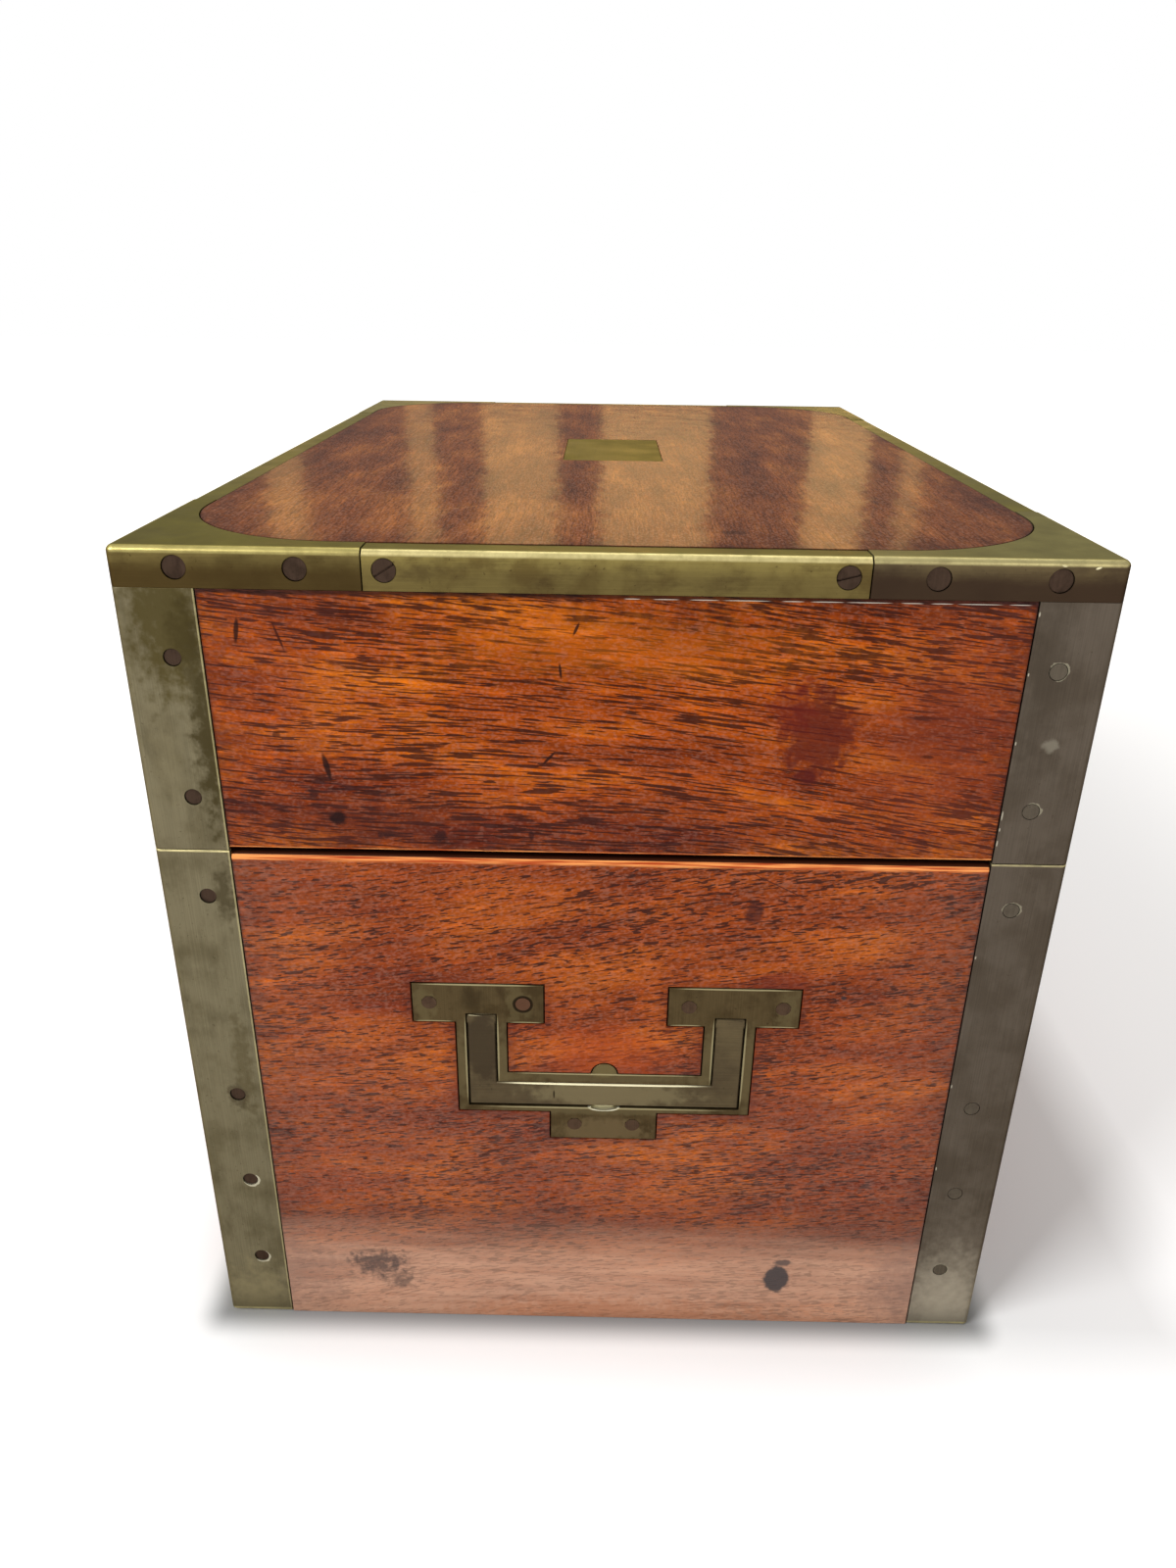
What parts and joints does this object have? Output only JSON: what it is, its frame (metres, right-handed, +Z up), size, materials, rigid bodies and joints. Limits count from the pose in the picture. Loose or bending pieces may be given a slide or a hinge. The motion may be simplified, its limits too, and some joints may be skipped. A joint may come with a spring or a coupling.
{
  "type": "document box",
  "caption": "Brass-bound wooden box for papers, with a lift-up lid on stop hinges, flush drop handles in its ends and a box lock in its front.",
  "frame": {"origin": "centre of the underside", "axes": "+X along the length towards the right end, +Y towards the back with the hinges, +Z up; the lock is in the front at -Y"},
  "size_m": [0.35, 0.2427, 0.25],
  "materials": {
    "mahogany": "french polished mahogany",
    "binding_brass": "old brass with dark patina and rubbed edges",
    "handle_brass": "old cast brass, rubbed bright on the bail",
    "hinge_brass": "drawn brass, dulled",
    "lock_brass": "sheet brass, dulled",
    "brass_screw": "filed flush, dark",
    "spring_steel": "blued steel",
    "baize": "thin wool baize"
  },
  "bodies": {
    "base": {"base_back_board": "mahogany", "base_bottom_board": "mahogany", "base_floor_lining": "baize", "base_front_board": "mahogany", "base_left_board": "mahogany", "base_right_board": "mahogany", "base_strap_back_left": "binding_brass", "base_strap_back_right": "binding_brass", "base_strap_front_left": "binding_brass", "base_strap_front_right": "binding_brass", "handle_pivots_left": "handle_brass", "handle_pivots_right": "handle_brass", "handle_plate_left": "handle_brass", "handle_plate_right": "handle_brass", "handle_screws_left": "brass_screw", "handle_screws_right": "brass_screw", "hinge_base_leaf_left": "hinge_brass", "hinge_base_leaf_right": "hinge_brass", "hinge_base_screws": "brass_screw", "hinge_pin_left": "hinge_brass", "hinge_pin_right": "hinge_brass", "keyhole_escutcheon": "lock_brass", "lock_case": "lock_brass", "lock_drill_pin": "spring_steel", "lock_plate": "lock_brass", "lock_screws": "brass_screw", "lock_spring": "spring_steel"},
    "lid": {"hinge_lid_leaf_left": "hinge_brass", "hinge_lid_leaf_right": "hinge_brass", "hinge_lid_screws": "brass_screw", "lid_back_rail": "mahogany", "lid_corner_mount_back_left": "binding_brass", "lid_corner_mount_back_right": "binding_brass", "lid_corner_mount_front_left": "binding_brass", "lid_corner_mount_front_right": "binding_brass", "lid_edge_strip_back": "binding_brass", "lid_edge_strip_front": "binding_brass", "lid_edge_strip_left": "binding_brass", "lid_edge_strip_right": "binding_brass", "lid_front_rail": "mahogany", "lid_left_rail": "mahogany", "lid_plaque": "binding_brass", "lid_right_rail": "mahogany", "lid_strap_back_left": "binding_brass", "lid_strap_back_right": "binding_brass", "lid_strap_front_left": "binding_brass", "lid_strap_front_right": "binding_brass", "lid_top_board": "mahogany", "lock_link_plate": "lock_brass", "lock_link_screws": "brass_screw"},
    "right_bail": {"handle_bail_right": "handle_brass"},
    "left_bail": {"handle_bail_left": "handle_brass"},
    "bolt": {"lock_bolt": "lock_brass"}
  },
  "joints": [
    {"name": "lid_hinge", "type": "hinge", "parent": "base", "child": "lid", "pos_m": [0, 0.12, 0.17], "axis": [-1, 0, 0], "range_deg": [0, 95]},
    {"name": "right_bail_pivot", "type": "hinge", "parent": "base", "child": "right_bail", "pos_m": [0.1726, 0, 0.1168], "axis": [0, -1, 0], "range_deg": [0, 90]},
    {"name": "left_bail_pivot", "type": "hinge", "parent": "base", "child": "left_bail", "pos_m": [-0.1726, 0, 0.1168], "axis": [0, 1, 0], "range_deg": [0, 90]},
    {"name": "bolt_slide", "type": "slide", "parent": "base", "child": "bolt", "axis": [1, 0, 0], "range_m": [0, 0.006]}
  ]
}
